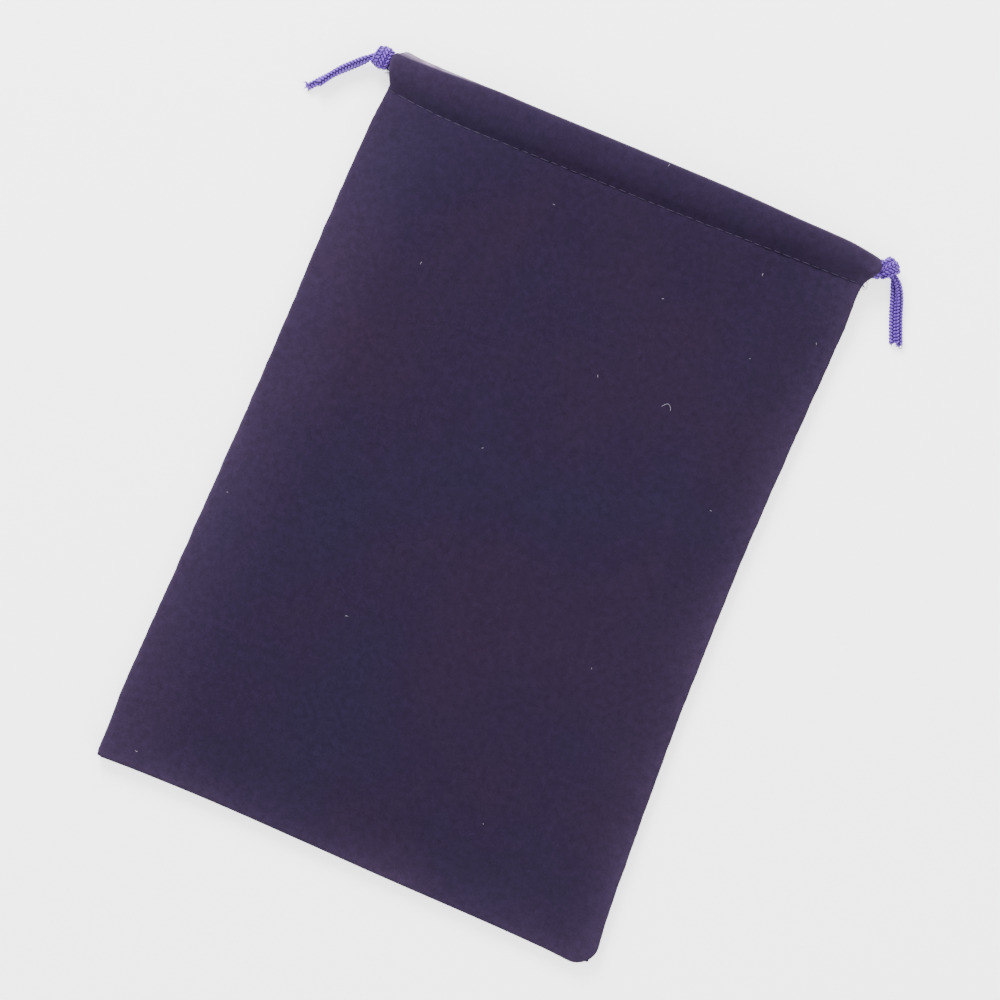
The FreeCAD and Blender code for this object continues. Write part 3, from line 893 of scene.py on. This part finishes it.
# each tuft: tip, way out, number of fibres, length, half of the fan in degrees, seed and end height
cordFray = {
    "thick": 0.11,
    "left": [((-83.1, 78.1, 1.05), (-0.75, -0.9), 16, 1.5, 24, 3),
             ((-83.2, 77.9, 1.05), (-1.0, 0.35), 7, 1.6, 14, 4),
             ((-83.0, 77.9, 1.05), (0.1, -1.0), 6, 1.0, 16, 5),
             ((-81.2, 79.4, 2.95), (-0.45, -1.0), 12, 0.9, 30, 6, 2.6)],
    "leftStray": [(-83.6, 78.1, 1.0), (-84.3, 78.3, 0.9), (-84.8, 78.5, 0.6), (-85.2, 78.4, 0.4)],
    "right": [((75.3, 76.4, 1.05), (0.5, -1.1), 12, 0.8, 34, 7),
              ((77.1, 76.8, 1.05), (0.3, -1.1), 12, 0.8, 30, 8)],
    "rightStray": [(77.2, 76.9, 1.2), (78.0, 76.7, 1.3), (78.2, 75.9, 0.9), (77.4, 75.8, 0.6)],
}


def frayed(name, word):
    # the fibres at both tips of one drawcord, with one that strays
    paths = [path for tips in cordFray[word] for path in tuft(*tips)]
    return fibres(name, paths + [cordFray[word + "Stray"]], cordFray["thick"], yarn)


leftCordFray = frayed("leftCordFray", "left")
rightCordFray = frayed("rightCordFray", "right")
for piece, line, fray, cord in ((leftCord, leftLine, leftCordFray, leftDrawcord),
                                (rightCord, rightLine, rightCordFray, rightDrawcord)):
    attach(fray, cord["body"])

hemFray = {
    "left": ((-65.7, 88.5, 5.6), (-1.0, -0.1), 16, 1.4, 46, 9, 5.0),
    "leftThick": 0.06,
    "right": ((62.5, 86.4, 3.8), (1.0, -0.4), 5, 1.0, 40, 10, 3.4),
    "rightThick": 0.08,
    "threadEnd": [(62.2, 86.3, 4.6), (63.0, 85.3, 4.8), (63.9, 85.6, 4.8), (63.8, 86.9, 4.8),
                  (63.2, 87.6, 4.6)],      # a loose loop of the channel's thread
}
leftEnd = tuft(*hemFray["left"])
rightEnd = [hemFray["threadEnd"]] + tuft(*hemFray["right"])
leftHemFray = fibres("leftHemFray", leftEnd, hemFray["leftThick"], fluff)
rightHemFray = fibres("rightHemFray", rightEnd, hemFray["rightThick"], fluff)
follow(leftHemFray)
follow(rightHemFray)

lint = {
    "spots": [(6.8, 94.0), (-15.5, 74.2), (38.7, 78.6), (18.4, 63.4), (11.2, 39.6), (-62, -23),
              (-22.6, -39.5), (28.8, -73.5), (-57.5, -91), (57.9, 68.5), (44, 58.3), (38.3, -27.5),
              (-8, 12), (50, 20), (-40, 48)],
    "hair": [(28.6, 38.9), (29.4, 40.1), (30.6, 40.0), (31.0, 38.8)],
    "thick": 0.055,
    "reach": (0.15, 0.38),      # half length of a fleck
}
lintDraws = random.Random(11)
flecks = {-1: [], 1: []}
for x, y in lint["spots"]:
    top = frontLevel(x, min(y, 82)) + pouch["cloth"] / 2 + 0.03
    if y > 86:      # on the hem
        top = hemBase(x) + 3.4
    angle = lintDraws.uniform(0, math.pi)
    reach = Vector((math.cos(angle), math.sin(angle), 0)) * lintDraws.uniform(*lint["reach"])
    bend = Vector((-reach.y, reach.x, 0)) * 0.4
    spot = Vector((x, y, top))
    flecks[-1 if x < 0 else 1].append([spot - reach, spot + bend, spot + reach])
flecks[1].append([(x, y, frontLevel(x, y) + pouch["cloth"] / 2 + 0.05) for x, y in lint["hair"]])
for side, word, cord in bagSides:
    follow(fibres(f"lint_{word}", flecks[side], lint["thick"], fluff))
print("fibres made")


# floor and light

studio = {
    "floor": (0.95, 0.95, 0.95),
    "glow": 1.6,      # of the floor and of the white surroundings
    "size": 3,        # half of the floor's width
    "drop": 0.1 * mm,
}


def makeFloor():
    material, nodes, links, shader = newMaterial("paleFloor")
    shader.inputs["Base Color"].default_value = (*studio["floor"], 1)
    shader.inputs["Roughness"].default_value = 0.9
    shader.inputs["Emission Color"].default_value = (1, 1, 1, 1)
    shader.inputs["Emission Strength"].default_value = studio["glow"]
    bm = bmesh.new()
    bmesh.ops.create_grid(bm, x_segments=1, y_segments=1, size=studio["size"])
    bmesh.ops.translate(bm, verts=bm.verts[:], vec=(0, 0, -studio["drop"]))
    place("floor", bm, [material])


makeFloor()

lights = {
    "key": {"at": (-0.55, 0.7, 0.65), "size": 0.45, "watts": 26},
    "fill": {"at": (0.7, -0.4, 0.9), "size": 1.0, "watts": 6},
}
for name, light in lights.items():
    data = bpy.data.lights.new(name, "AREA")
    data.size = light["size"]
    data.energy = light["watts"]
    lamp = bpy.data.objects.new(name, data)
    lamp.location = light["at"]
    lamp.rotation_euler = (-Vector(light["at"])).to_track_quat("-Z", "Y").to_euler()
    bpy.context.scene.collection.objects.link(lamp)
world = bpy.data.worlds.new("studio")
bpy.context.scene.world = world
world.use_nodes = True
sky = world.node_tree.nodes["Background"]
sky.inputs["Color"].default_value = (1, 1, 1, 1)
sky.inputs["Strength"].default_value = studio["glow"]
print("floor and light made")
